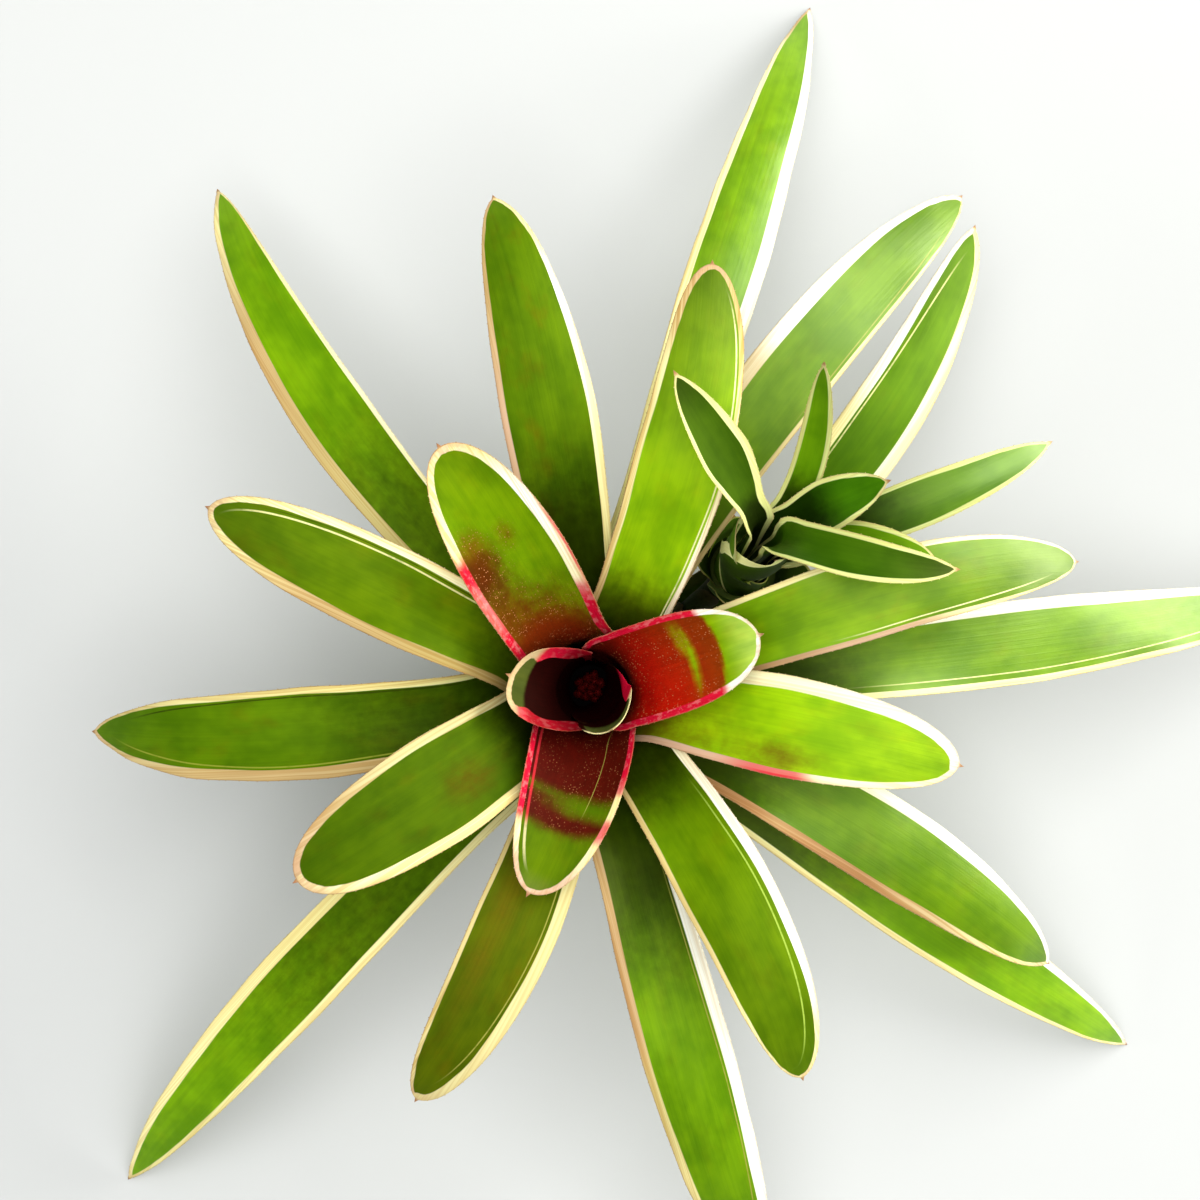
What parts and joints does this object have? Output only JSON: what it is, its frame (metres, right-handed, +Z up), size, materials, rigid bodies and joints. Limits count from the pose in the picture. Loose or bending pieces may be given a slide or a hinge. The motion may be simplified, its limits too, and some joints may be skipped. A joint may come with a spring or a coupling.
{
  "type": "neoregelia plant",
  "caption": "Rosette of arching strap leaves with pale margins round a red central cup, with a small offset rosette on its side; stands on its cut stem.",
  "frame": {"origin": "on the surface the plant stands on, below the middle of the leaves' spread; the stem's cut end is 43.3 mm towards -X and 15 mm towards -Y from it", "axes": "+Z up along the stem, +Y towards the side away from the viewer of a picture taken from above with the offset at its upper right, +X to that picture's right"},
  "size_m": [0.4439, 0.4861, 0.1639],
  "materials": {
    "green_leaf": "leathery satin leaf, mid green with cream to white margins",
    "red_leaf": "leathery satin leaf, flushed dark red with crimson margins and green tips",
    "offset_leaf": "leathery satin leaf, dark green with narrow pale margins",
    "stem": "matt fibrous brown stem",
    "heart": "dark maroon bud cluster"
  },
  "bodies": {
    "root": {"stem": "stem", "heart": "heart", "offset_stem": "stem", "leaf_01": "red_leaf", "leaf_02": "red_leaf", "leaf_03": "red_leaf", "leaf_04": "red_leaf", "leaf_05": "red_leaf", "leaf_06": "green_leaf", "leaf_07": "green_leaf", "leaf_08": "green_leaf", "leaf_09": "green_leaf", "leaf_10": "green_leaf", "leaf_11": "green_leaf", "leaf_12": "green_leaf", "leaf_13": "green_leaf", "leaf_14": "green_leaf", "leaf_15": "green_leaf", "leaf_16": "green_leaf", "leaf_17": "green_leaf", "leaf_18": "green_leaf", "leaf_19": "green_leaf", "leaf_20": "green_leaf", "leaf_21": "green_leaf", "leaf_22": "green_leaf", "leaf_23": "green_leaf", "offset_leaf_1": "offset_leaf", "offset_leaf_2": "offset_leaf", "offset_leaf_3": "offset_leaf", "offset_leaf_4": "offset_leaf", "offset_leaf_5": "offset_leaf", "offset_leaf_6": "offset_leaf", "offset_leaf_7": "offset_leaf", "offset_leaf_8": "offset_leaf"}
  },
  "joints": []
}
